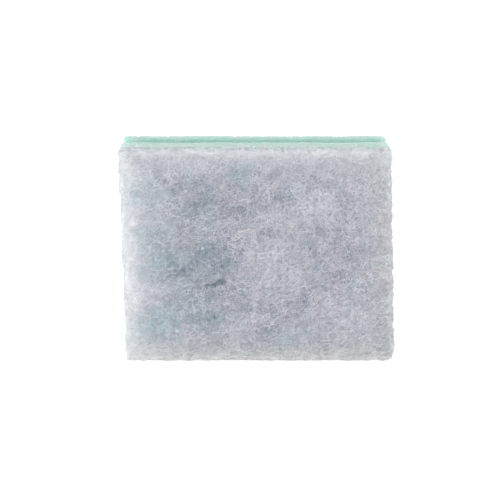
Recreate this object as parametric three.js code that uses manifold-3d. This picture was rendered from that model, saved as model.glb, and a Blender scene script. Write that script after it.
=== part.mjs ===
// A sponge scourer: a block of open-celled foam, faced on one side with a pad of lofty
// non-woven fleece. A round-bottomed groove runs along each long side for the fingers.
//
// Millimetres, +Z up. The sponge stands on one long side, with its fleece towards -Y and its
// length along X. The origin is on the surface it stands on, under the middle of the block.

import * as THREE from 'three';
import { mergeVertices } from 'three/addons/utils/BufferGeometryUtils.js';
import Module from 'manifold-3d';

const wasm = await Module();
wasm.setup();

// Overall sizes
const LENGTH = 110; // along X
const HEIGHT = 88; // along Z, from one grooved side to the other
const FOAM_THICKNESS = 30; // along Y, behind the fleece
const FLEECE_THICKNESS = 8; // along Y, where the fleece is fullest
const CORNER_RADIUS = 1; // of the four corners that the cutting die leaves

// Finger grooves in the foam
const FRONT_RIM = 13; // foam left between the fleece and a groove
const GROOVE_WIDTH = 10.5; // a fingertip presses the soft foam apart there
const GROOVE_DEPTH = 9.5;
const GROOVE_BOTTOM_RADIUS = 5; // rounds each side of the groove into its floor
const LIP_RADIUS = 1.5; // softens the two edges of a groove
const BACK_EDGE_RADIUS = 0.7; // softens the four edges of the foam's back

// Fleece
const PINCHED_THICKNESS = 3.5; // what the cutting die leaves at the very edge
const SWELL = 13; // how far in from the edge the fleece needs to reach its full loft
const UNEVENNESS = 0.9; // between the fleece's high and low places
const LUMP_SPACING = 21; // from one high place to the next
const WAVES = [0, 1, 2, 3, 4]; // that make up the unevenness
const TURN = 2.4; // radians from the heading of one wave to the next
const SHORTENING = 0.15; // of each wave's length over the one before

// How finely curves are cut into straight steps
const ARC_STEPS = 10; // in each rounded corner or curve
const EDGE_STEPS = 7; // across the fleece's swelling edge
const LUMP_STEPS = 6; // across one lump of the fleece

const foamMaterial = new THREE.MeshStandardMaterial({
  name: 'mint foam', color: 0x9fd6c8, roughness: 0.95, metalness: 0,
});
const fleeceMaterial = new THREE.MeshStandardMaterial({
  name: 'white fleece', color: 0xdfe2e8, roughness: 1, metalness: 0,
});

// Closed mesh to solid, with the corners that neighbouring faces share merged into one
function solidFrom(geometry) {
  const bare = geometry.clone();
  bare.deleteAttribute('normal');
  bare.deleteAttribute('uv');
  const welded = mergeVertices(bare, 1e-4);
  return new wasm.Manifold(new wasm.Mesh({
    numProp: 3,
    vertProperties: welded.attributes.position.array,
    triVerts: new Uint32Array(welded.index.array),
  }));
}

function geometryFrom(solid) {
  const mesh = solid.getMesh();
  const geometry = new THREE.BufferGeometry();
  geometry.setAttribute('position', new THREE.BufferAttribute(mesh.vertProperties, 3));
  geometry.setIndex(new THREE.BufferAttribute(mesh.triVerts, 1));
  geometry.computeVertexNormals();
  return geometry;
}

function meshOf(name, solid, material) {
  const mesh = new THREE.Mesh(geometryFrom(solid), material);
  mesh.name = name;
  return mesh;
}

// What the cutting die lets through: the sponge's outline, as seen on its fleece, taken
// through the full thickness. The plane y = 0 is where the fleece is bonded to the foam.
function dieCutPrism() {
  const right = LENGTH / 2;
  const inner = { x: right - CORNER_RADIUS, low: CORNER_RADIUS, high: HEIGHT - CORNER_RADIUS };
  const outline = new THREE.Shape()
    .moveTo(-inner.x, 0)
    .lineTo(inner.x, 0)
    .absarc(inner.x, inner.low, CORNER_RADIUS, -Math.PI / 2, 0)
    .lineTo(right, inner.high)
    .absarc(inner.x, inner.high, CORNER_RADIUS, 0, Math.PI / 2)
    .lineTo(-inner.x, HEIGHT)
    .absarc(-inner.x, inner.high, CORNER_RADIUS, Math.PI / 2, Math.PI)
    .lineTo(-right, inner.low)
    .absarc(-inner.x, inner.low, CORNER_RADIUS, Math.PI, 1.5 * Math.PI);
  // The bevel rounds the back's edges, and the one at the front lies clear of the fleece
  const prism = new THREE.ExtrudeGeometry(outline, {
    depth: FOAM_THICKNESS - BACK_EDGE_RADIUS + FLEECE_THICKNESS,
    bevelThickness: BACK_EDGE_RADIUS,
    bevelSize: BACK_EDGE_RADIUS,
    bevelOffset: -BACK_EDGE_RADIUS,
    bevelSegments: EDGE_STEPS,
    curveSegments: ARC_STEPS,
  });
  const shapeToWorld = new THREE.Matrix4().makeBasis(
    new THREE.Vector3(1, 0, 0), new THREE.Vector3(0, 0, 1), new THREE.Vector3(0, -1, 0));
  return prism.applyMatrix4(shapeToWorld).translate(0, FOAM_THICKNESS - BACK_EDGE_RADIUS, 0);
}

// The upper half of the foam's section, from the bond plane over the groove to the back.
// In the section x runs from the fleece to the back, and y runs up from the middle.
function addGroovedSide(section) {
  const top = HEIGHT / 2;
  const nearWall = FRONT_RIM;
  const farWall = FRONT_RIM + GROOVE_WIDTH;
  const bottomRadius = Math.min(GROOVE_BOTTOM_RADIUS, GROOVE_WIDTH / 2, GROOVE_DEPTH - LIP_RADIUS);
  const arcCentre = top - GROOVE_DEPTH + bottomRadius;
  return section
    .lineTo(FOAM_THICKNESS, top)
    .lineTo(farWall + LIP_RADIUS, top)
    .absarc(farWall + LIP_RADIUS, top - LIP_RADIUS, LIP_RADIUS, Math.PI / 2, Math.PI)
    .lineTo(farWall, arcCentre)
    .absarc(farWall - bottomRadius, arcCentre, bottomRadius, 0, -Math.PI / 2, true)
    .lineTo(nearWall + bottomRadius, top - GROOVE_DEPTH)
    .absarc(nearWall + bottomRadius, arcCentre, bottomRadius, -Math.PI / 2, -Math.PI, true)
    .lineTo(nearWall, top - LIP_RADIUS)
    .absarc(nearWall - LIP_RADIUS, top - LIP_RADIUS, LIP_RADIUS, 0, Math.PI / 2)
    .lineTo(0, top);
}

// Half of the foam, from the middle up to one grooved side, extruded along the length
function foamHalf() {
  const section = addGroovedSide(new THREE.Shape().moveTo(0, 0).lineTo(FOAM_THICKNESS, 0));
  const half = new THREE.ExtrudeGeometry(
    section, { depth: LENGTH, bevelEnabled: false, curveSegments: ARC_STEPS });
  const sectionToWorld = new THREE.Matrix4().makeBasis(
    new THREE.Vector3(0, 1, 0), new THREE.Vector3(0, 0, 1), new THREE.Vector3(1, 0, 0));
  return solidFrom(half.applyMatrix4(sectionToWorld).translate(-LENGTH / 2, 0, 0));
}

// Both halves joined at mid-height, then cut to the outline
function foamBlock(die) {
  const upper = foamHalf();
  const lower = upper.mirror([0, 0, 1]);
  return upper.add(lower).translate([0, 0, HEIGHT / 2]).intersect(die);
}

// From -1 to 1: where the fibres were carded thick or thin. Waves of several headings and
// lengths are added up, so that no pattern repeats across the pad.
function lumpsAt(x, z) {
  const heights = WAVES.map((k) => {
    const along = x * Math.cos(k * TURN) + z * Math.sin(k * TURN);
    return Math.sin(2 * Math.PI * along * (1 + SHORTENING * k) / LUMP_SPACING + k * k);
  });
  return heights.reduce((sum, height) => sum + height, 0) / WAVES.length;
}

// How thick the fleece is at a place on its face: pinched at the cut edge, then swelling
// along a quarter of an ellipse to its full loft
function fleeceThickness(x, z) {
  const edgeDistance = Math.min(LENGTH / 2 - Math.abs(x), z, HEIGHT - z);
  const share = Math.min(Math.max(edgeDistance / SWELL, 0), 1);
  const loft = Math.sqrt(1 - (1 - share) ** 2);
  const full = FLEECE_THICKNESS - UNEVENNESS * (0.5 - 0.5 * lumpsAt(x, z));
  return PINCHED_THICKNESS + (full - PINCHED_THICKNESS) * loft;
}

// Places across one side of the pad, from 0 to its length: close together where the edge
// curves over, and even in between
function placesAcross(length) {
  const edge = Array.from({ length: EDGE_STEPS }, (_, i) => (
    SWELL * (1 - Math.cos(Math.PI / 2 * i / EDGE_STEPS))));
  const middleSteps = Math.round((length - 2 * SWELL) * LUMP_STEPS / LUMP_SPACING);
  const middle = Array.from({ length: middleSteps + 1 }, (_, i) => (
    SWELL + (length - 2 * SWELL) * i / middleSteps));
  return [...edge, ...middle, ...edge.map((place) => length - place).reverse()];
}

// A slab of fleece whose face carries the loft, cut to the outline. It is made twice as deep
// as the pad, so that the cut along the bond plane leaves that side flat.
function fleecePad(die) {
  const xs = placesAcross(LENGTH);
  const zs = placesAcross(HEIGHT);
  const slab = new THREE.BoxGeometry(1, 2, 1, xs.length - 1, 1, zs.length - 1).translate(0.5, 0, 0.5);
  const corners = slab.attributes.position;
  for (let i = 0; i < corners.count; i += 1) {
    const x = xs[Math.round(corners.getX(i) * (xs.length - 1))] - LENGTH / 2;
    const z = zs[Math.round(corners.getZ(i) * (zs.length - 1))];
    corners.setXYZ(i, x, corners.getY(i) < 0 ? -fleeceThickness(x, z) : FLEECE_THICKNESS, z);
  }
  const keepsTheFront = [0, -1, 0];
  return solidFrom(slab).intersect(die).trimByPlane(keepsTheFront, 0);
}

const die = solidFrom(dieCutPrism());
const sponge = new THREE.Group();
sponge.add(meshOf('foam_block', foamBlock(die), foamMaterial));
sponge.add(meshOf('fleece_pad', fleecePad(die), fleeceMaterial));
sponge.position.y = (FLEECE_THICKNESS - FOAM_THICKNESS) / 2;

export default sponge;
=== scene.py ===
# %% [markdown]
# # A sponge scourer
#
# The sponge has two parts, which are bonded face to face: a block of mint-green foam with a
# finger groove along each long side, and a pad of white fleece for scouring. Foam and fleece
# are soft and full of holes, so their looks come from thousands of small things: the cells
# of the foam and the fibres of the fleece. Each gets real geometry, as far as the budget of
# triangles goes, and the material carries on below that scale.
#
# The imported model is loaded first. It gives every size and place, in metres, with the fleece
# towards -Y and the length along X.

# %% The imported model
import math

import bmesh
import bpy
import numpy as np
from mathutils import Matrix, Vector, noise
from mathutils.bvhtree import BVHTree


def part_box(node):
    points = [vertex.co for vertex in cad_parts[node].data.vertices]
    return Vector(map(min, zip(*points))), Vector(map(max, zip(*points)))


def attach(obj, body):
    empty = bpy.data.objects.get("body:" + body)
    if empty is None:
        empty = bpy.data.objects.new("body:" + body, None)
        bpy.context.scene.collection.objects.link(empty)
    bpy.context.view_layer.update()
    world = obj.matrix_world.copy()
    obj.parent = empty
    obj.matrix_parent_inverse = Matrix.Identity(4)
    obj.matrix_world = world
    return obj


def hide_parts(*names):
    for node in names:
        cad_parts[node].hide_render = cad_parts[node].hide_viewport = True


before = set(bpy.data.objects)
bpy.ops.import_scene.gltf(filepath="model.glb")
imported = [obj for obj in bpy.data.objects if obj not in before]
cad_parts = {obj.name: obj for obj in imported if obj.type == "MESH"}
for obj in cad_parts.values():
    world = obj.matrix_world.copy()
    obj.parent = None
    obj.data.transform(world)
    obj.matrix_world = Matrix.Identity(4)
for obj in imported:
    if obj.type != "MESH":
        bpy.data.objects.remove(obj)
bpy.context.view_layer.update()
foam_low, foam_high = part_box("foam_block")
fleece_low, fleece_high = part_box("fleece_pad")
BOND = foam_low.y  # the plane where foam and fleece meet
MIDDLE = (foam_low + foam_high) / 2
MM = 0.001
print("foam from", foam_low, "to", foam_high)
print("fleece from", fleece_low, "to", fleece_high)

# %% [markdown]
# ## The camera
#
# The picture was taken from straight ahead and a little above, with a long lens, so the
# sides hardly converge. The lens and the distance belong together: a long lens from far away
# and a short one from near by give the same size but another perspective. Here the narrower
# back edge of the sponge gave the distance.

# %% Camera
CAMERA_PLACE = Vector((-3.1, -794, 219)) * MM
CAMERA_PITCH = math.radians(12.47)  # downwards
LENS = 141  # the lens and the sensor are in millimetres
SENSOR_WIDTH = 36
NEAREST = 0.01  # metres from the lens, nearer than anything here

camera = bpy.data.objects.new("camera", bpy.data.cameras.new("camera"))
camera.data.lens = LENS
camera.data.sensor_width = SENSOR_WIDTH
camera.data.clip_start = NEAREST
camera.location = CAMERA_PLACE
camera.rotation_euler = (math.pi / 2 - CAMERA_PITCH, 0, 0)
bpy.context.collection.objects.link(camera)
bpy.context.scene.camera = camera
print("camera at", camera.location)

# %% [markdown]
# ## The studio
#
# A product shot on white has light from all around. A white world gives that, and the floor
# glows a little, so that it stays as white as the world behind it. A lamp close by on the left
# and larger, softer ones in front and above give the sponge its form: the left edge is the
# brightest, the top comes next, and the fleece that faces the camera is the darkest.

# %% Light and floor
WORLD_STRENGTH = 1.0
FLOOR_COLOUR = (0.93, 0.93, 0.93, 1)
FLOOR_GLOW = 0.5
FLOOR_REACH = 3  # metres from the sponge, past all that the camera sees

scene = bpy.context.scene
scene.view_settings.view_transform = "Standard"
world = bpy.data.worlds.new("studio")
world.use_nodes = True
world.node_tree.nodes["Background"].inputs["Color"].default_value = (1, 1, 1, 1)
world.node_tree.nodes["Background"].inputs["Strength"].default_value = WORLD_STRENGTH
scene.world = world


def lamp(name, place, size, power):
    """A square, soft lamp that points at the middle of the sponge."""
    light = bpy.data.lights.new(name, "AREA")
    light.size = size
    light.energy = power
    thing = bpy.data.objects.new(name, light)
    thing.location = Vector(place)
    thing.rotation_euler = (MIDDLE - Vector(place)).to_track_quat("-Z", "Y").to_euler()
    bpy.context.collection.objects.link(thing)


lamp("left_lamp", place=(-0.9, -0.05, 0.1), size=0.5, power=2.1)
lamp("front_lamp", place=(0.1, -1.2, 0.25), size=0.8, power=1.9)
lamp("top_lamp", place=(-0.1, 0.12, 1.0), size=0.6, power=0.35)

floor_bm = bmesh.new()
bmesh.ops.create_grid(floor_bm, x_segments=1, y_segments=1, size=FLOOR_REACH)
floor_mesh = bpy.data.meshes.new("floor")
floor_bm.to_mesh(floor_mesh)
floor_bm.free()
floor = bpy.data.objects.new("floor", floor_mesh)
bpy.context.collection.objects.link(floor)
floor_paint = bpy.data.materials.new("floor paint")
floor_paint.use_nodes = True
floor_shader = floor_paint.node_tree.nodes["Principled BSDF"]
floor_shader.inputs["Base Color"].default_value = FLOOR_COLOUR
floor_shader.inputs["Roughness"].default_value = 1
floor_shader.inputs["Emission Color"].default_value = (1, 1, 1, 1)
floor_shader.inputs["Emission Strength"].default_value = FLOOR_GLOW
floor_mesh.materials.append(floor_paint)

# %% [markdown]
# ## Writing materials
#
# A material is a tree of nodes. Written out node by node it is hard to read, so two small
# classes help. A `Value` is what comes out of a node, and arithmetic on it adds Math nodes,
# so `1 - mask * 0.5` is written as it is meant. A `Finish` is one material, and its method
# `add` makes any other node from its type, its settings and what goes into it.

# %% Shader helpers
MIX_COLOUR_INPUTS = (6, 7)  # A and B of a Mix node that mixes colours
MIX_COLOUR_OUTPUT = 2


class Value:
    """What comes out of a node. Arithmetic on it adds Math nodes."""

    def __init__(self, finish, socket):
        self.finish = finish
        self.socket = socket

    def math(self, operation, first, second):
        inputs = {0: first, 1: second}
        return self.finish.add("ShaderNodeMath", {"operation": operation}, inputs)

    def __add__(self, other):
        return self.math("ADD", self, other)

    def __radd__(self, other):
        return self.math("ADD", other, self)

    def __sub__(self, other):
        return self.math("SUBTRACT", self, other)

    def __rsub__(self, other):
        return self.math("SUBTRACT", other, self)

    def __mul__(self, other):
        return self.math("MULTIPLY", self, other)

    def __rmul__(self, other):
        return self.math("MULTIPLY", other, self)

    def __abs__(self):
        return self.math("ABSOLUTE", self, 0)


class Finish:
    """One material, built by calls that each add a node."""

    def __init__(self, name):
        self.material = bpy.data.materials.new(name)
        self.material.use_nodes = True
        self.tree = self.material.node_tree
        self.shader = self.tree.nodes["Principled BSDF"]
        self.place = self.add("ShaderNodeTexCoord", output="Object")

    def feed(self, socket, value):
        if isinstance(value, Value):
            self.tree.links.new(value.socket, socket)
        else:
            socket.default_value = value

    def add(self, kind, settings=None, inputs=None, output=0):
        """A node of this kind, with its settings made first. Gives one of its outputs."""
        node = self.tree.nodes.new(kind)
        for name, setting in (settings or {}).items():
            setattr(node, name, setting)
        for name, value in (inputs or {}).items():
            self.feed(node.inputs[name], value)
        return Value(self, node.outputs[output])

    def wear(self, **sockets):
        """Sets sockets of the shader, with Base_Color for Base Color."""
        for name, value in sockets.items():
            self.feed(self.shader.inputs[name.replace("_", " ")], value)

    def attribute(self, name):
        """A number that was measured for each vertex and kept on the mesh."""
        settings = {"attribute_name": name}
        return self.add("ShaderNodeAttribute", settings, output="Fac")

    def noise(self, size, detail):
        """Cloudy noise from 0 to 1, whose clouds are about this size in metres."""
        inputs = {"Vector": self.place, "Scale": 1 / size, "Detail": detail}
        return self.add("ShaderNodeTexNoise", inputs=inputs)

    def cells(self, size, feature="F1"):
        """Distance in a pattern of cells of this size: to a cell's middle, or to its wall."""
        inputs = {"Vector": self.place, "Scale": 1 / size}
        return self.add("ShaderNodeTexVoronoi", {"feature": feature}, inputs, "Distance")

    def between(self, value, low, high):
        """0 below low, 1 above high, and a smooth step in between."""
        settings = {"interpolation_type": "SMOOTHSTEP"}
        inputs = {"Value": value, "From Min": low, "From Max": high}
        return self.add("ShaderNodeMapRange", settings, inputs)

    def mix(self, factor, first, second):
        """A colour between two colours."""
        a, b = MIX_COLOUR_INPUTS
        inputs = {0: factor, a: first, b: second}
        return self.add("ShaderNodeMix", {"data_type": "RGBA"}, inputs, MIX_COLOUR_OUTPUT)

    def bump(self, height, distance, strength=1.0):
        """Lets a pattern look raised by this distance in metres."""
        inputs = {"Height": height, "Distance": distance, "Strength": strength}
        self.wear(Normal=self.add("ShaderNodeBump", inputs=inputs))


def colour(red, green, blue):
    """A colour from the 0 to 255 of a picture, turned into the linear light of a shader."""
    shares = [c / 255 for c in (red, green, blue)]
    linear = [s / 12.92 if s <= 0.04045 else ((s + 0.055) / 1.055) ** 2.4 for s in shares]
    return (*linear, 1)


# %% [markdown]
# ## From a form to a fine mesh
#
# Both soft parts are made in the same three steps. A form of a few faces gives the outline.
# A voxel remesh then covers it with even little squares, 0.5 to 0.7 mm across, which can
# be moved freely. While the surface is still smooth, it gets its UV map, because the
# roughness that comes next would tear the map into thousands of scraps.

# %% Helpers for fine meshes
FLATNESS = 0.02 * MM  # how near to the bond plane a vertex counts as on it
UV_ANGLE = math.radians(66)  # between faces that are still laid out side by side
UV_MARGIN = 0.004


def remeshed(name, bm, voxel):
    """A mesh object with the form of bm, covered with even squares of this size."""
    rough = bpy.data.meshes.new(name)
    bm.to_mesh(rough)
    bm.free()
    ob = bpy.data.objects.new(name, rough)
    bpy.context.collection.objects.link(ob)
    remesh = ob.modifiers.new("even squares", "REMESH")
    remesh.mode = "VOXEL"
    remesh.voxel_size = voxel
    fine = bpy.data.meshes.new_from_object(ob.evaluated_get(bpy.context.evaluated_depsgraph_get()))
    ob.modifiers.clear()
    ob.data = fine
    bpy.data.meshes.remove(rough)
    fine.name = name
    return ob


def simplify_bond_side(ob):
    """Turns the flat side on the bond plane, which nobody sees, into a single face."""
    bm = bmesh.new()
    bm.from_mesh(ob.data)
    flat = [f for f in bm.faces if all(abs(v.co.y - BOND) < FLATNESS for v in f.verts)]
    bmesh.ops.dissolve_faces(bm, faces=flat, use_verts=True)
    bm.to_mesh(ob.data)
    bm.free()


def unwrap(ob):
    """Gives a smooth surface the UV map that its colours are kept on."""
    ob.data.uv_layers.new(name="OFBake")
    bpy.ops.object.select_all(action="DESELECT")
    ob.select_set(True)
    bpy.context.view_layer.objects.active = ob
    bpy.ops.object.mode_set(mode="EDIT")
    bpy.ops.mesh.select_all(action="SELECT")
    bpy.ops.uv.smart_project(angle_limit=UV_ANGLE, island_margin=UV_MARGIN)
    bpy.ops.object.mode_set(mode="OBJECT")


def roughen(ob, depth_at):
    """Moves each vertex inwards along its normal, by depth_at(its place)."""
    before = [(v.co.copy(), v.normal.copy()) for v in ob.data.vertices]
    after = [place - normal * depth_at(place) for place, normal in before]
    ob.data.vertices.foreach_set("co", [c for place in after for c in place])
    ob.data.update()


def press_flat(ob):
    """Flattens what would go into the floor, which the soft sponge stands on."""
    for vertex in ob.data.vertices:
        vertex.co.z = max(vertex.co.z, foam_low.z)


def triangles(ob):
    ob.data.calc_loop_triangles()
    return len(ob.data.loop_triangles)


# %% [markdown]
# ## The foam block
#
# The block is cut from a large bun of foam. A profile cutter leaves the two grooves, and a
# knife then cuts the block to length. So its form is one section, drawn with square notches,
# and pulled along X. Bevels round the notches into grooves, which is easier than
# drawing the arcs.

# %% Foam: the section, pulled to length
FRONT_RIM = 13 * MM
GROOVE_WIDTH = 10.5 * MM
GROOVE_DEPTH = 9.5 * MM
GROOVE_RADIUS = 5 * MM
LIP_RADIUS = 1.5 * MM  # softens the two edges of a groove
EDGE_RADIUS = 0.7 * MM  # softens the edges of the foam's back
CORNER_RADIUS = 0.6 * MM
FOAM_VOXEL = 0.52 * MM
WALL_HEIGHT = 0.5 * MM  # how far the cell walls stand over this form

near = BOND + FRONT_RIM
far = near + GROOVE_WIDTH
bottom_floor = foam_low.z + GROOVE_DEPTH
top_floor = foam_high.z - GROOVE_DEPTH

section = [
    (BOND, foam_low.z), (near, foam_low.z), (near, bottom_floor), (far, bottom_floor),
    (far, foam_low.z), (foam_high.y, foam_low.z), (foam_high.y, foam_high.z),
    (far, foam_high.z), (far, top_floor), (near, top_floor), (near, foam_high.z),
    (BOND, foam_high.z),
]
foam_bm = bmesh.new()
end_face = foam_bm.faces.new([foam_bm.verts.new((foam_low.x, y, z)) for y, z in section])
pulled = bmesh.ops.extrude_face_region(foam_bm, geom=[end_face])["geom"]
pulled = [part for part in pulled if isinstance(part, bmesh.types.BMVert)]
bmesh.ops.translate(foam_bm, verts=pulled, vec=(foam_high.x - foam_low.x, 0, 0))
bmesh.ops.recalc_face_normals(foam_bm, faces=foam_bm.faces)
print("closed:", all(len(e.link_faces) == 2 for e in foam_bm.edges))


# %% Foam: round grooves, soft lips and edges
TOLERANCE = 0.01 * MM
GROOVE_SEGMENTS = 10
CORNER_SEGMENTS = 4
EDGE_SEGMENTS = 3


def close_to(a, b):
    return abs(a - b) < TOLERANCE


def runs_along(edge, axis):
    """Whether an edge is straight along one axis: 0 for X, 1 for Y, 2 for Z."""
    ends = [v.co for v in edge.verts]
    return all(close_to(ends[0][k], ends[1][k]) for k in range(3) if k != axis)


def bevel_edges(bm, keep, radius, segments):
    """Rounds the edges that keep(edge, its middle) picks."""
    chosen = [e for e in bm.edges if keep(e, (e.verts[0].co + e.verts[1].co) / 2)]
    bmesh.ops.bevel(
        bm, geom=chosen, offset=radius, segments=segments, profile=0.5,
        affect="EDGES", material=-1)
    return len(chosen)


def at_outer_side(z):
    """Whether a height is on the top or bottom of the foam, or in their rounded corners."""
    return min(foam_high.z - z, z - foam_low.z) < CORNER_RADIUS + TOLERANCE


def is_groove_floor(edge, middle):
    at_wall = close_to(middle.y, near) or close_to(middle.y, far)
    at_floor = close_to(middle.z, top_floor) or close_to(middle.z, bottom_floor)
    return runs_along(edge, 0) and at_wall and at_floor


def is_corner(edge, middle):
    at_end = close_to(middle.x, foam_low.x) or close_to(middle.x, foam_high.x)
    return runs_along(edge, 1) and at_end and at_outer_side(middle.z)


def is_lip(edge, middle):
    at_wall = close_to(middle.y, near) or close_to(middle.y, far)
    outside = all(at_outer_side(v.co.z) for v in edge.verts)
    return at_wall and outside and not runs_along(edge, 1)


def is_back_edge(edge, middle):
    return all(close_to(v.co.y, foam_high.y) for v in edge.verts)


print("groove floors:", bevel_edges(foam_bm, is_groove_floor, GROOVE_RADIUS, GROOVE_SEGMENTS))
print("corners:", bevel_edges(foam_bm, is_corner, CORNER_RADIUS, CORNER_SEGMENTS))
print("lips:", bevel_edges(foam_bm, is_lip, LIP_RADIUS, CORNER_SEGMENTS))
print("back edges:", bevel_edges(foam_bm, is_back_edge, EDGE_RADIUS, EDGE_SEGMENTS))

# %% Foam: the fine mesh
# The cell walls will stand over this form, so its ends are cut back as far
ENDS = 1 - 2 * WALL_HEIGHT / (foam_high.x - foam_low.x)
bmesh.ops.scale(foam_bm, verts=foam_bm.verts, vec=(ENDS, 1, 1))
foam = remeshed("foam_body", foam_bm, FOAM_VOXEL)
simplify_bond_side(foam)
unwrap(foam)
print("foam:", triangles(foam), "triangles")

# %% [markdown]
# ## The foam's cells
#
# Cut foam shows its cells as open pits with thin walls in between. A Voronoi pattern is the
# same thing: space shared out among random points. Where the two nearest points are
# equally far away there is a wall, and everywhere else the knife has opened a cell. Bubbles
# about twice as wide lie here and there between them.

# %% Foam: open cells
CELL = 1.2 * MM
CELL_DEPTH = 0.38 * MM
WALL_TOP = 0.02  # a wall's flat top, as a share of a cell
PIT_FLOOR = 0.4  # where the pit has its full depth
MEAN_DEPTH = 0.75  # of the pits, as a share of CELL_DEPTH
DEPTH_VARIATION = 0.5
DEPTH_SPACING = 6 * MM  # from places with deep cells to places with shallow ones
BUBBLE_SPACING = 4.2 * MM
BUBBLE_RADIUS = 1.1 * MM
BUBBLE_DEPTH = 0.55 * MM
BUBBLE_FLOOR = 0.3  # the flat part in its middle, as a share of the radius
BUBBLE_SHARE = 0.30  # of the places where a bubble could lie
BUBBLE_DRAW = 7.3  # spreads the bubbles' places out, so that each draws a number of its own
UNEVEN_DEPTH = 0.22 * MM  # of the wide dents
UNEVEN_SPACING = 14 * MM


def smooth_step(value, low, high):
    share = min(max((value - low) / (high - low), 0), 1)
    return share * share * (3 - 2 * share)


def foam_depth(place):
    """How far the surface moves inwards at a place, or outwards where this is negative."""
    distances, _ = noise.voronoi(place / CELL)
    pit = smooth_step(distances[1] - distances[0], WALL_TOP, PIT_FLOOR)
    variation = MEAN_DEPTH + DEPTH_VARIATION * noise.noise(place / DEPTH_SPACING)
    depth = CELL_DEPTH * pit * variation
    bubble_distances, bubble_points = noise.voronoi(place / BUBBLE_SPACING)
    if noise.cell(bubble_points[0] * BUBBLE_DRAW) < BUBBLE_SHARE:
        reach = bubble_distances[0] * BUBBLE_SPACING / BUBBLE_RADIUS
        depth += BUBBLE_DEPTH * (1 - smooth_step(reach, BUBBLE_FLOOR, 1))
    return depth + UNEVEN_DEPTH * noise.noise(place / UNEVEN_SPACING) - WALL_HEIGHT


roughen(foam, foam_depth)
press_flat(foam)

# %% Foam: finish
SCATTER = (9 * MM, 12 * MM, 12 * MM)  # how far red, green and blue light spread in foam


def foam_finish():
    finish = Finish("mint foam")
    fine = finish.between(finish.cells(0.62 * MM, "DISTANCE_TO_EDGE"), 0.02, 0.3)
    pores = finish.between(finish.cells(0.95 * MM), 0.05, 0.55)
    cloud = finish.noise(9 * MM, 3)
    # The deep colour in the middle of the cells and pores is painted shade in the pits; the pale
    # one is the foam's own mint on the walls
    pale = finish.mix(cloud, colour(168, 199, 190), colour(181, 206, 198))
    deep = finish.mix(cloud, colour(158, 198, 187), colour(171, 204, 195))
    walls = finish.mix(fine, pale, deep)
    finish.wear(Base_Color=finish.mix(pores, deep, walls), Roughness=0.95)
    finish.wear(Specular_IOR_Level=0.2, Subsurface_Weight=1.0, Subsurface_Scale=1.0)
    finish.wear(Subsurface_Radius=SCATTER)
    finish.bump(pores - fine * 0.6, 0.25 * MM, 0.8)
    return finish.material


foam.data.materials.append(foam_finish())
foam.data.shade_smooth()

# %% [markdown]
# ## The fleece mat
#
# The fleece is a lofty mat of crimped fibres, bonded where they cross. The cutting die
# pinches it at its edge, so the pad is a pillow. Its body is one closed form: a box, of which
# each slice behind the face is squeezed to the pad's thickness at that place.

# %% Fleece: how thick it is, and where it is thin
PINCHED = 3.4 * MM  # what the cutting die leaves at the very edge
SWELL = 13 * MM  # how far in from the edge the mat needs to reach its full loft
UNEVENNESS = 0.9 * MM
LUMP_SPACING = 21 * MM
WAVES = 5
TURN = 2.4  # radians from the heading of one wave to the next
SHORTENING = 0.15  # of each wave's length over the one before
FUZZ_ROOM = 0.35 * MM  # kept free at the mat's ends for the fibres that stand proud
EDGE_ROOM = 0.1 * MM  # and along its long sides
FACE_ROOM = 0.5 * MM  # kept free in front of the mat for the fibres that arch over it
LOFT = BOND - fleece_low.y - FACE_ROOM

GRAIN_ANGLE = math.radians(21)  # most fibres lie along this line, as the web was carded
STRETCH = 1.35  # of a thin or thick place along the grain
STREAK_SPACINGS = (3.1 * MM, 1.9 * MM)  # of the streaks that break up such a place
STREAK_SHARE = 0.9
STREAK_LIMIT = 1.8
# Where the carding left few fibres, or with a negative depth many: along, up, radius and
# depth in millimetres, from the face's bottom left corner. They were placed to put
# the sponge's own larger thin and thick places where they are.
UNEVEN_PLACES = [
    (32, 66, 4.4, 0.7), (46, 64, 3.2, 0.45), (35, 47, 4.2, 0.6), (42, 41, 3.6, 0.6),
    (39.9, 34.1, 1.1, 2.3), (37.4, 33.4, 1.2, 1.3), (34.8, 32.6, 1.3, 0.8), (37, 28, 3.6, 0.5),
    (50, 29, 2.6, 0.4), (29, 19, 3.2, 0.6), (36, 19, 2.6, 0.7), (17, 45, 4.0, 0.3),
    (20, 72, 3.0, 0.4), (31, 75, 6, 0.3), (51, 80, 4.0, 0.4), (66, 69, 3.4, 0.5),
    (57, 54, 3.0, 0.5), (75, 50, 3.6, 0.4), (72, 26, 3.8, 0.4), (58, 13, 3.8, 0.5),
    (79, 8, 3.2, 0.3), (83, 75, 3.2, 0.4), (14, 22, 4.0, 0.3), (96, 47, 3.6, 0.4),
    (62, 78, 3.0, 0.4), (86, 36, 3.0, 0.3), (22, 38, 5, 0.5), (33, 40, 15, 0.42),
    (12, 44, 8, 0.2), (14, 12, 8, 0.4), (77, 66, 9, -0.7), (92, 17, 10, -0.6),
    (57, 46, 8, -0.8), (62, 34, 8, -0.5), (85, 27, 9, -0.4), (48, 15, 7, -0.4),
    (68, 13, 7, -0.3), (100, 62, 8, -0.2), (52, 56, 6, -0.5),
    (18, 42, 12, 0.15), (72, 45, 25, -0.2),
]
# Where the foam's mint shows through: along, up, radius and share
MINT_PLACES = [
    (8, 70, 7, 0.4), (11, 54, 7, 0.4), (14, 42, 6, 0.4), (14, 17, 8, 0.7), (36, 17, 5, 0.4),
    (48, 79, 5, 0.4), (66, 10, 6, 0.3),
]


def waves(x, z, spacing):
    """From -1 to 1: waves of five headings and lengths, which never repeat as a pattern."""
    total = 0
    for k in range(WAVES):
        along = x * math.cos(k * TURN) + z * math.sin(k * TURN)
        total = total + np.sin(2 * math.pi * along * (1 + SHORTENING * k) / spacing + k * k)
    return total / WAVES


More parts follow.
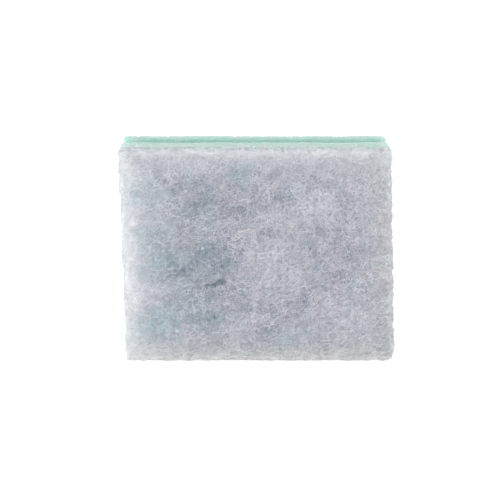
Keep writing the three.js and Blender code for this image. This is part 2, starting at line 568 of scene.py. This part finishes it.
def edge_distance(x, z):
    """How far in from the cut edge places on the face are."""
    return np.minimum.reduce(
        [x - fleece_low.x, fleece_high.x - x, z - fleece_low.z, fleece_high.z - z])


def spots(x, z, places):
    """The sum of soft spots at these places, each drawn out along the grain."""
    total = 0
    for along, up, radius, amount in places:
        right = x - fleece_low.x - along * MM
        over = z - fleece_low.z - up * MM
        with_grain = right * math.cos(GRAIN_ANGLE) + over * math.sin(GRAIN_ANGLE)
        across = over * math.cos(GRAIN_ANGLE) - right * math.sin(GRAIN_ANGLE)
        reach = np.hypot(with_grain / STRETCH, across * STRETCH) / (radius * MM)
        total = total + amount * np.exp(-(reach ** 2))
    return total


def thinness(x, z):
    """How far the mat sinks at places on the face, because few fibres lie there."""
    coarse, fine = STREAK_SPACINGS
    streaks = waves(x, z, coarse) + waves(z, x, fine)
    share = np.clip(1 + STREAK_SHARE * streaks, 0, STREAK_LIMIT)
    return spots(x, z, UNEVEN_PLACES) * MM * share


def pad_thickness(x, z):
    """From the bond plane to the face: it swells along a quarter of an ellipse."""
    share = np.clip(edge_distance(x, z) / SWELL, 0, 1)
    rise = np.sqrt(1 - (1 - share) ** 2)
    unevenness = UNEVENNESS * (0.5 - 0.5 * waves(x, z, LUMP_SPACING))
    full = np.maximum(LOFT - unevenness - thinness(x, z), PINCHED)
    return PINCHED + (full - PINCHED) * rise


# %% Fleece: the pillow
FLEECE_VOXEL = 0.7 * MM
WORN_CORNER_RADIUS = 4.5 * MM  # at the bottom right, where it has been rubbed off
WORN_CORNER_SEGMENTS = 6


def places_of(ob):
    places = np.empty(len(ob.data.vertices) * 3)
    ob.data.vertices.foreach_get("co", places)
    return places.reshape(-1, 3)


mat_bm = bmesh.new()
bmesh.ops.create_cube(mat_bm, size=1)
mat_size = fleece_high - fleece_low - 2 * Vector((FUZZ_ROOM, 0, EDGE_ROOM))
bmesh.ops.scale(mat_bm, verts=mat_bm.verts, vec=mat_size)
bmesh.ops.translate(mat_bm, verts=mat_bm.verts, vec=(fleece_low + fleece_high) / 2)


def is_worn_corner(edge, middle):
    return runs_along(edge, 1) and middle.x > 0 and middle.z < MIDDLE.z


def is_whole_corner(edge, middle):
    return runs_along(edge, 1) and (middle.x < 0 or middle.z > MIDDLE.z)


print("worn corner:", bevel_edges(mat_bm, is_worn_corner, WORN_CORNER_RADIUS, WORN_CORNER_SEGMENTS))
print("whole corners:", bevel_edges(mat_bm, is_whole_corner, CORNER_RADIUS, CORNER_SEGMENTS))
mat = remeshed("fleece_mat", mat_bm, FLEECE_VOXEL)
simplify_bond_side(mat)
slab = places_of(mat)
behind_face = (BOND - slab[:, 1]) / (BOND - fleece_low.y)
slab[:, 1] = BOND - behind_face * pad_thickness(slab[:, 0], slab[:, 2])
mat.data.vertices.foreach_set("co", slab.ravel())
mat.data.update()
unwrap(mat)

# %% [markdown]
# The blade leaves a ragged edge: tufts stand out here and there, and the pad's outline is
# uneven. This is done before the fibres are laid, so that they follow it.

# %% Fleece: ragged outline
RAGGED = 1.0 * MM
RAGGED_REACH = 1.5 * MM  # how far in from the edge it fades
COARSE_TUFT = 2 * MM
FINE_TUFT = 1.1 * MM
FINE_SHARE = 0.9  # of the fine tufts beside the coarse ones
BONDED = 0.3 * MM  # next to the bond plane the mat is glued and stays as it is


def ragged_depth(place):
    """How far the blade's cut goes in, or tufts stand out where this is negative."""
    if place.y > BOND - BONDED:
        return 0
    nearness = math.exp(-max(edge_distance(place.x, place.z), 0) / RAGGED_REACH)
    tufts = noise.noise(place / COARSE_TUFT) + FINE_SHARE * noise.noise(place / FINE_TUFT)
    return RAGGED * nearness * tufts


roughen(mat, ragged_depth)
skin = bmesh.new()
skin.from_mesh(mat.data)
mat_surface = BVHTree.FromBMesh(skin)
skin.free()
print("mat:", triangles(mat), "triangles")


# %% Fleece: tangled relief
TANGLE_DEPTH = 0.5 * MM
TANGLE_SIZE = 2.2 * MM
TANGLE_OCTAVES = 3


def mat_depth(place):
    """How deep the hollows between the tangled fibres are."""
    if place.y > BOND - BONDED:
        return 0
    return TANGLE_DEPTH * noise.turbulence(place / TANGLE_SIZE, TANGLE_OCTAVES, True)


roughen(mat, mat_depth)
press_flat(mat)


# %% [markdown]
# ## What the fleece's colour follows
#
# Fleece has no pattern printed on it. Its colour changes with how many fibres there are to
# look through: white at the pinched edge, where they are dense, grey where they are few, and
# mint where the foam shines through. Painted light is laid over this: the rim is whitened
# most on the left and the top, where the lamps fall, and mint light is painted on the top side
# beside the foam. All of these depend on where on the pad a place is, so
# they are worked out once for each vertex and kept on the mesh as attributes, which the
# material then reads. The fibres carry the same attributes as the mat below them.

# %% Fleece: masks and finish
RIM_WIDTH = 1 * MM  # of the outermost rim, which is the whitest
RIM_FADE = 6 * MM
# Painted light: the rim is whitened most on the left and top, where the lamps fall, and less on the
# right and bottom; the rest is the dense pinched edge
RIM_WHITENESS_AND_PAINTED_LIGHT = {"left": 0.92, "top": 0.84, "right": 0.52, "bottom": 0.7}
LEFT_WIDTH = 3.5 * MM  # the left edge is the whitest: painted light from the left lamp, over the dense pinched rim
LEFT_FADE = 9.5 * MM
PAINTED_MINT_FADE = 1.8 * MM  # how far the painted mint light, for light that passes the foam from above, reaches into the fleece's top side
MINT_SPACING = 5 * MM  # of the waves that break up a minty place
MINT_VARIATION = 0.6
THIN_DARKENING = 0.6
THICK_WHITENING = 0.5
MINT_SHARE = 0.55
PAINTED_MINT_SHARE = 0.8


def mark(ob, name, values):
    """Keeps one number for each vertex, under this name."""
    ob.data.attributes.new(name, "FLOAT", "POINT").data.foreach_set("value", values)


def near_edge(distance, width, fade):
    """1 within a width of an edge, and fading away farther in."""
    return np.exp(-np.clip(distance - width, 0, None) / fade)


def mark_fleece(ob):
    """Keeps the masks that the colour of mat and fibres follows, painted light among them."""
    x, y, z = places_of(ob).T
    # Whiter rim, partly the dense pinched edge and partly painted light, strongest on the left and
    # top
    left = RIM_WHITENESS_AND_PAINTED_LIGHT["left"] * near_edge(x - fleece_low.x, LEFT_WIDTH, LEFT_FADE)
    top = RIM_WHITENESS_AND_PAINTED_LIGHT["top"] * near_edge(fleece_high.z - z, RIM_WIDTH, RIM_FADE)
    right = RIM_WHITENESS_AND_PAINTED_LIGHT["right"] * near_edge(fleece_high.x - x, RIM_WIDTH, RIM_FADE)
    bottom = RIM_WHITENESS_AND_PAINTED_LIGHT["bottom"] * near_edge(z - fleece_low.z, RIM_WIDTH, RIM_FADE)
    mark(ob, "cool_rim_and_painted_light", np.maximum(left, top))
    mark(ob, "warm_rim_and_painted_light", np.maximum(right, bottom))
    mark(ob, "thin", np.clip(thinness(x, z) / MM, 0, 1))
    mark(ob, "thick", np.clip(-thinness(x, z) / MM, 0, 1))
    broken_up = 1 + MINT_VARIATION * waves(x, z, MINT_SPACING)
    shining = spots(x, z, MINT_PLACES) * broken_up
    mark(ob, "mint", np.clip(shining, 0, 1))
    # Painted mint light on the fleece's top side beside the foam, where light passes through the
    # foam from above
    on_top = near_edge(fleece_high.z - z, 0, PAINTED_MINT_FADE)
    mark(ob, "painted_mint_light", near_edge(BOND - y, 0, PAINTED_MINT_FADE) * on_top)


def fleece_colour(finish, plain):
    """Darkens thin places, whitens thick ones, whitens the rim as dense edge and painted light,
    lets the mint shine through, and paints mint light on the top side.
    """
    through = finish.mix(finish.attribute("thin") * THIN_DARKENING, plain, colour(134, 155, 168))
    fuller = finish.mix(finish.attribute("thick") * THICK_WHITENING, through, colour(251, 250, 255))
    # The rim's whitening: the dense edge, and painted light from the lamps on the left and top
    warm = finish.mix(finish.attribute("warm_rim_and_painted_light"), fuller, colour(249, 248, 244))
    pale = finish.mix(finish.attribute("cool_rim_and_painted_light"), warm, colour(248, 249, 252))
    minty = finish.mix(finish.attribute("mint") * MINT_SHARE, pale, colour(168, 207, 210))
    # Painted mint light near the foam, on the fleece's top side
    return finish.mix(finish.attribute("painted_mint_light") * PAINTED_MINT_SHARE, minty, colour(214, 238, 232))


def mat_finish():
    finish = Finish("fleece depth")
    swirl = finish.noise(3 * MM, 3)
    lines = finish.between(abs(finish.noise(1.1 * MM, 2) - 0.5), 0.0, 0.07)
    more_lines = finish.between(abs(finish.noise(1.7 * MM, 3) - 0.5), 0.0, 0.05)
    cloud = finish.between(finish.noise(7 * MM, 3), 0.35, 0.65)
    # The dark colour under the threads is painted shade, for the shadowed depth of the fleece
    # between its fibres
    gap_shade = finish.mix(cloud, colour(134, 145, 160), colour(160, 166, 180))
    thread = finish.mix(swirl, colour(210, 213, 222), colour(236, 237, 244))
    threads = finish.mix(lines * more_lines, thread, gap_shade)
    finish.wear(Base_Color=fleece_colour(finish, threads), Roughness=1.0)
    finish.wear(Specular_IOR_Level=0.1)
    finish.bump(1 - lines * more_lines, 0.15 * MM)
    return finish.material


mark_fleece(mat)
mat.data.materials.append(mat_finish())
mat.data.shade_smooth()

# %% [markdown]
# ## The fibres
#
# A fibre is laid on the mat as a walker would cross it: from a random place and in a random
# direction, a step at a time, with a bend that changes a little at each step. Each step
# also turns it a little towards the grain. It is then brought back to the surface, and so it
# follows the pad round its edges. It dives into the mat at both ends and arches over it in
# between. At the rim, loose ends stand out of the mat and curl, longer in some tufts than in
# others.

# %% Fibres: the walk over the mat
ROOT_DEPTH = 0.25 * MM  # how deep in the mat a lying fibre starts and ends
GRAIN = Vector((math.cos(GRAIN_ANGLE), 0, math.sin(GRAIN_ANGLE)))
GRAIN_PULL = 0.11  # how much each step turns a fibre towards the grain
BEND_CHANGE = 0.45  # of the curl, from one step to the next
ARCH_POWER = 0.8  # below 1, a fibre rises steeply and then lies along the mat
LOOSE_SPREAD = 0.6  # of loose ends, away from straight out
TUFT_SPACING = 0.9 * MM
TUFT_FULLNESS = 0.5  # the usual length of loose ends, as a share of their rise
TUFT_VARIATION = 1.4
LEAST_FULLNESS = 0.1
RIM_REACH = 2.5 * MM  # how far in from the edge loose ends grow on the face
IN_FRONT = 2 * MM  # of the pad, from where a place on its face is looked for
SIDE_DEPTH = 4 * MM  # behind the face's fullest place, from where the cut sides are covered
SPARSENESS = 0.75  # the share of fibres missing where the mat is a millimetre thinner
BOND_CLEARANCE = 0.2 * MM  # no fibre starts nearer than this to the bond plane
FLOOR_UNEVENNESS = 1.2 * MM
FLOOR_LUMP_SIZE = 2.4 * MM


def surface_places(count, rng, reach_back, only_rim):
    """Random places on the face and on the cut sides of the mat, and the way out there."""
    places = []
    low, high = fleece_low, fleece_high
    while len(places) < count:
        x = rng.uniform(low.x - reach_back, high.x + reach_back)
        z = rng.uniform(low.z - reach_back, high.z + reach_back)
        inside = low.x < x < high.x and low.z < z < high.z
        if inside and only_rim and edge_distance(x, z) > RIM_REACH:
            continue
        y = low.y - IN_FRONT if inside else rng.uniform(low.y + SIDE_DEPTH, BOND)
        if inside and rng.random() < SPARSENESS * thinness(x, z) / MM:
            continue
        found, normal, _, _ = mat_surface.find_nearest(Vector((x, y, z)))
        if found.y > BOND - BOND_CLEARANCE:
            continue
        places.append((found, normal))
    return places


def lying_fibre(place, normal, rng, steps, step, curl, rise):
    """Points along a fibre that arches over the mat, with both ends in it."""
    heading = Vector(rng.normal(size=3))
    heading = (heading - normal * heading.dot(normal)).normalized()
    bend = rng.normal() * curl
    points = []
    for i in range(steps + 1):
        arch = math.sin(math.pi * i / steps) ** ARCH_POWER
        points.append(place + normal * (-ROOT_DEPTH + (rise + ROOT_DEPTH) * arch))
        bend += rng.normal() * curl * BEND_CHANGE
        heading = Matrix.Rotation(bend, 3, normal) @ heading
        heading += GRAIN * heading.dot(GRAIN) * GRAIN_PULL
        place, normal, _, _ = mat_surface.find_nearest(place + heading * step)
        heading = (heading - normal * heading.dot(normal)).normalized()
    return points


def loose_end(place, normal, rng, steps, step, curl, rise):
    """Points along a fibre end that stands out of the mat and curls. Its rise sets its steps."""
    heading = (normal + Vector(rng.normal(size=3)) * LOOSE_SPREAD).normalized()
    turn = Matrix.Rotation(rng.normal() * curl, 3, Vector(rng.normal(size=3)))
    points = []
    fullness = TUFT_FULLNESS + TUFT_VARIATION * noise.noise(place / TUFT_SPACING)
    length = 2 * ROOT_DEPTH + rise * max(fullness, LEAST_FULLNESS)
    place = place - normal * 2 * ROOT_DEPTH
    for _ in range(steps + 1):
        points.append(place.copy())
        place = place + heading * length / steps
        heading = turn @ heading
    return points


def lift_over_floor(path, radius):
    """Bends up a path that would go into what the sponge stands on."""
    for point in path:
        lowest = FLOOR_UNEVENNESS * max(noise.noise(point / FLOOR_LUMP_SIZE), 0)
        point.z = max(point.z, fleece_low.z + lowest + radius)


# %% [markdown]
# Each walk becomes a tube. Its section is a triangle, since a fibre is less than half a
# pixel wide in the picture, and a round one would only cost faces. The ring of corners is
# carried from point to point with as little turning as possible, so that the tube doesn't
# twist. All tubes of a layer have the same faces but for the numbers of their corners, so
# these are written down once as a pattern and repeated. That also gives every fibre the same
# number of vertices, which lets each have one tone along its whole length.

# %% Fibres: tubes along the walks
RING = 3  # corners in a tube's section
THINNEST = 0.5  # a fibre's ends, as a share of its middle
UV_EDGE = 0.1  # kept free at the edges of each fibre's square on the UV map
FIRST_END_UV = [(0.3, 0), (0.2, 0.08), (0.1, 0)]  # where the two end faces lie on it
LAST_END_UV = [(0.1, 1), (0.2, 0.92), (0.3, 1)]
SHORTEST = 1e-12  # keeps unit() from dividing by zero


def tube_pattern(length):
    """Faces of one tube along this many points, and where their corners go on its UV square."""
    faces = [(2, 1, 0)]
    corners = [*FIRST_END_UV]
    levels = [UV_EDGE + (1 - 2 * UV_EDGE) * i / (length - 1) for i in range(length)]
    for i in range(length - 1):
        for k in range(RING):
            here = RING * i + k
            beside = RING * i + (k + 1) % RING
            faces.append((here, beside, beside + RING, here + RING))
            corners += [(k / RING, levels[i]), ((k + 1) / RING, levels[i])]
            corners += [((k + 1) / RING, levels[i + 1]), (k / RING, levels[i + 1])]
    last = RING * (length - 1)
    faces.append((last, last + 1, last + 2))
    corners += LAST_END_UV
    return faces, corners


def unit(vectors):
    """The same directions, each with a length of 1."""
    return vectors / np.maximum(np.linalg.norm(vectors, axis=-1, keepdims=True), SHORTEST)


def tubes(name, paths, radii):
    """One mesh of thin, closed, three-sided tubes along all the paths."""
    points = np.array(paths)
    count, length = points.shape[:2]
    ahead = unit(np.gradient(points, axis=1))
    side = np.random.default_rng(0).normal(size=(count, 3))
    rings = []
    for i in range(length):
        side = unit(side - ahead[:, i] * (side * ahead[:, i]).sum(axis=1, keepdims=True))
        up = np.cross(ahead[:, i], side)
        taper = THINNEST + (1 - THINNEST) * math.sin(math.pi * i / (length - 1))
        reach = taper * np.array(radii)[:, None]
        for k in range(RING):
            angle = 2 * math.pi * k / RING
            rings.append(points[:, i] + reach * (math.cos(angle) * side + math.sin(angle) * up))
    faces, corners = tube_pattern(length)
    all_faces = [[RING * length * n + v for v in face] for n in range(count) for face in faces]
    mesh = bpy.data.meshes.new(name)
    mesh.from_pydata(np.stack(rings, axis=1).reshape(-1, 3), [], all_faces)
    across = math.ceil(math.sqrt(count))
    squares = np.array([(n % across, n // across) for n in range(count)])
    uv = (squares[:, None] + UV_EDGE + (1 - 2 * UV_EDGE) * np.array(corners)) / across
    mesh.uv_layers.new(name="OFBake").uv.foreach_set("vector", uv.ravel())
    mesh.shade_smooth()
    ob = bpy.data.objects.new(name, mesh)
    bpy.context.collection.objects.link(ob)
    return ob


# %% Fibres: finish
TONE_SHARE = 0.7  # how much a fibre's own tone counts for its shade
CLOUD_SHARE = 0.28  # and how much the place where it lies


def fibre_finish():
    finish = Finish("white fibres")
    cloud = finish.between(finish.noise(3 * MM, 3), 0.3, 0.7)
    warmth = finish.between(finish.noise(9 * MM, 4), 0.35, 0.65)
    shade = finish.attribute("tone") * TONE_SHARE + cloud * CLOUD_SHARE
    # The dark end is painted shade: deeper layers draw darker tones for the shade inside the mat,
    # and the tone also varies at random from fibre to fibre
    cool = finish.mix(shade, colour(133, 142, 165), colour(248, 251, 255))
    warm = finish.mix(shade, colour(138, 141, 163), colour(253, 250, 255))
    plain = finish.mix(warmth, cool, warm)
    finish.wear(Base_Color=fleece_colour(finish, plain), Roughness=0.9)
    finish.wear(Specular_IOR_Level=0.2)
    return finish.material


# %% [markdown]
# The fibres come in five layers. Deep ones fill the mat, the middle and upper ones lie over
# them, a few long ones cross them all, and loose ends stand out at the rim. Each fibre has
# one tone, drawn at random within its layer's range, and the ranges paint shade by depth:
# the deep fibres are dark and the upper ones bright, so that each is set off against those
# beside and below it.

# %% Fibres: the layers
REACH_BACK = 4 * MM  # past the outline, so that the cut sides get fibres as well
RISES = (0.2, 1)  # the least and the most, as a share of the layer's own value
STRIDES = (0.7, 1.2)
RADII = (0.7, 1.3)
LAYERS = [
    # name, way of lying, only at the rim, fibres, steps, step, curl, rise, radius and tones;
    # step, rise and radius are in millimetres, and curl is in radians
    # The tones' ranges paint shade by depth: the deep layer darkest, the upper ones brightest
    ("fibres_deep", lying_fibre, False, 3600, 7, 1.2, 0.5, 0.35, 0.075, (0.0, 0.45)),
    ("fibres_middle", lying_fibre, False, 3600, 7, 1.2, 0.5, 0.6, 0.070, (0.2, 0.9)),
    ("fibres_upper", lying_fibre, False, 3600, 7, 1.2, 0.45, 0.9, 0.075, (0.55, 1.0)),
    ("fibres_long", lying_fibre, False, 1500, 12, 1.5, 0.14, 1.0, 0.065, (0.6, 1.0)),
    ("fibres_rim", loose_end, True, 5000, 4, 1, 0.35, 2.3, 0.08, (0.0, 0.9)),
]
white_fibres = fibre_finish()
layers = []
for number, layer_values in enumerate(LAYERS):
    name, way, only_rim, count, steps, step, curl, rise, radius, tones = layer_values
    rng = np.random.default_rng(number + 1)
    paths = []
    radii = []
    for place, normal in surface_places(count, rng, REACH_BACK, only_rim):
        up = rise * MM * rng.uniform(*RISES)
        stride = step * MM * rng.uniform(*STRIDES)
        path = way(place, normal, rng, steps, stride, curl, up)
        radii.append(radius * MM * rng.uniform(*RADII))
        lift_over_floor(path, radii[-1])
        paths.append(path)
    layer = tubes(name, paths, radii)
    mark_fleece(layer)
    tone_of_fibre = rng.uniform(*tones, count)
    mark(layer, "tone", np.repeat(tone_of_fibre, RING * (steps + 1)))
    layer.data.materials.append(white_fibres)
    layers.append(layer)
    print(name, triangles(layer), "triangles")

# %% [markdown]
# ## The lean
#
# The sponge is soft, and it stands a little skew: its top has moved to the left by about a
# fortieth of its height. A shear does that to every soft piece alike.

# %% Lean
LEAN = 2.3 * MM  # of the top against the bottom, towards -X

slope = -LEAN / (foam_high.z - foam_low.z)
lean = Matrix(((1, 0, slope, -slope * MIDDLE.z), (0, 1, 0, 0), (0, 0, 1, 0), (0, 0, 0, 1)))
for piece in (foam, mat, *layers):
    piece.data.transform(lean)
    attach(piece, "root")
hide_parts("foam_block")
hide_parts("fleece_pad")
